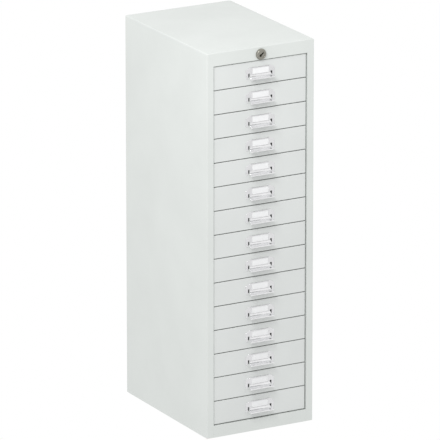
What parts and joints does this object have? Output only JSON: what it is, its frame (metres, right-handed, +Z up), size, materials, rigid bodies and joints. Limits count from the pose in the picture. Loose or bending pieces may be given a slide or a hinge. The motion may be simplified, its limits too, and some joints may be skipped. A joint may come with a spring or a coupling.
{
  "type": "multi-drawer cabinet",
  "caption": "Tall narrow steel cabinet with a column of shallow sliding drawers, label-holder cup handles and a key lock.",
  "frame": {"origin": "middle of the shell's footprint, on the floor", "axes": "+Z up, the front faces -Y, +X to the right of someone facing the front"},
  "size_m": [0.283, 0.4076, 0.93],
  "materials": {
    "shell_paint": "satin",
    "drawer_paint": "satin",
    "handle_plating": "polished",
    "lock_plating": "dark polished nickel",
    "card": "matt",
    "zinc_steel": "zinc plated",
    "guide_plastic": "matt"
  },
  "bodies": {
    "cabinet": {"outer_shell": "shell_paint", "base_pan": "shell_paint", "back_panel": "shell_paint", "runner_panel_left": "zinc_steel", "runner_panel_right": "zinc_steel", "lock_housing": "lock_plating", "lock_nut": "zinc_steel", "spindle_bracket": "zinc_steel", "bar_guides": "guide_plastic"},
    "lock_cylinder": {"lock_plug": "lock_plating", "lock_spindle": "zinc_steel"},
    "locking_bar": {"locking_bar": "zinc_steel"},
    "drawer_01": {"drawer_01": "drawer_paint", "handle_01": "handle_plating", "label_card_01": "card"},
    "drawer_02": {"drawer_02": "drawer_paint", "handle_02": "handle_plating", "label_card_02": "card"},
    "drawer_03": {"drawer_03": "drawer_paint", "handle_03": "handle_plating", "label_card_03": "card"},
    "drawer_04": {"drawer_04": "drawer_paint", "handle_04": "handle_plating", "label_card_04": "card"},
    "drawer_05": {"drawer_05": "drawer_paint", "handle_05": "handle_plating", "label_card_05": "card"},
    "drawer_06": {"drawer_06": "drawer_paint", "handle_06": "handle_plating", "label_card_06": "card"},
    "drawer_07": {"drawer_07": "drawer_paint", "handle_07": "handle_plating", "label_card_07": "card"},
    "drawer_08": {"drawer_08": "drawer_paint", "handle_08": "handle_plating", "label_card_08": "card"},
    "drawer_09": {"drawer_09": "drawer_paint", "handle_09": "handle_plating", "label_card_09": "card"},
    "drawer_10": {"drawer_10": "drawer_paint", "handle_10": "handle_plating", "label_card_10": "card"},
    "drawer_11": {"drawer_11": "drawer_paint", "handle_11": "handle_plating", "label_card_11": "card"},
    "drawer_12": {"drawer_12": "drawer_paint", "handle_12": "handle_plating", "label_card_12": "card"},
    "drawer_13": {"drawer_13": "drawer_paint", "handle_13": "handle_plating", "label_card_13": "card"},
    "drawer_14": {"drawer_14": "drawer_paint", "handle_14": "handle_plating", "label_card_14": "card"},
    "drawer_15": {"drawer_15": "drawer_paint", "handle_15": "handle_plating", "label_card_15": "card"}
  },
  "joints": [
    {"name": "lock_turn", "type": "hinge", "parent": "cabinet", "child": "lock_cylinder", "pos_m": [0, 0, 0.9117], "axis": [0, 1, 0], "range_deg": [0, 90]},
    {"name": "locking_bar_lift", "type": "slide", "parent": "cabinet", "child": "locking_bar", "axis": [0, 0, 1], "range_m": [0, 0.01697]},
    {"name": "drawer_01_slide", "type": "slide", "parent": "cabinet", "child": "drawer_01", "axis": [0, -1, 0], "range_m": [0, 0.3]},
    {"name": "drawer_02_slide", "type": "slide", "parent": "cabinet", "child": "drawer_02", "axis": [0, -1, 0], "range_m": [0, 0.3]},
    {"name": "drawer_03_slide", "type": "slide", "parent": "cabinet", "child": "drawer_03", "axis": [0, -1, 0], "range_m": [0, 0.3]},
    {"name": "drawer_04_slide", "type": "slide", "parent": "cabinet", "child": "drawer_04", "axis": [0, -1, 0], "range_m": [0, 0.3]},
    {"name": "drawer_05_slide", "type": "slide", "parent": "cabinet", "child": "drawer_05", "axis": [0, -1, 0], "range_m": [0, 0.3]},
    {"name": "drawer_06_slide", "type": "slide", "parent": "cabinet", "child": "drawer_06", "axis": [0, -1, 0], "range_m": [0, 0.3]},
    {"name": "drawer_07_slide", "type": "slide", "parent": "cabinet", "child": "drawer_07", "axis": [0, -1, 0], "range_m": [0, 0.3]},
    {"name": "drawer_08_slide", "type": "slide", "parent": "cabinet", "child": "drawer_08", "axis": [0, -1, 0], "range_m": [0, 0.3]},
    {"name": "drawer_09_slide", "type": "slide", "parent": "cabinet", "child": "drawer_09", "axis": [0, -1, 0], "range_m": [0, 0.3]},
    {"name": "drawer_10_slide", "type": "slide", "parent": "cabinet", "child": "drawer_10", "axis": [0, -1, 0], "range_m": [0, 0.3]},
    {"name": "drawer_11_slide", "type": "slide", "parent": "cabinet", "child": "drawer_11", "axis": [0, -1, 0], "range_m": [0, 0.3]},
    {"name": "drawer_12_slide", "type": "slide", "parent": "cabinet", "child": "drawer_12", "axis": [0, -1, 0], "range_m": [0, 0.3]},
    {"name": "drawer_13_slide", "type": "slide", "parent": "cabinet", "child": "drawer_13", "axis": [0, -1, 0], "range_m": [0, 0.3]},
    {"name": "drawer_14_slide", "type": "slide", "parent": "cabinet", "child": "drawer_14", "axis": [0, -1, 0], "range_m": [0, 0.3]},
    {"name": "drawer_15_slide", "type": "slide", "parent": "cabinet", "child": "drawer_15", "axis": [0, -1, 0], "range_m": [0, 0.3]}
  ],
  "couplings": [
    {"joint": "lock_turn", "follows": "locking_bar_lift", "rad_per_m": 92.56}
  ]
}
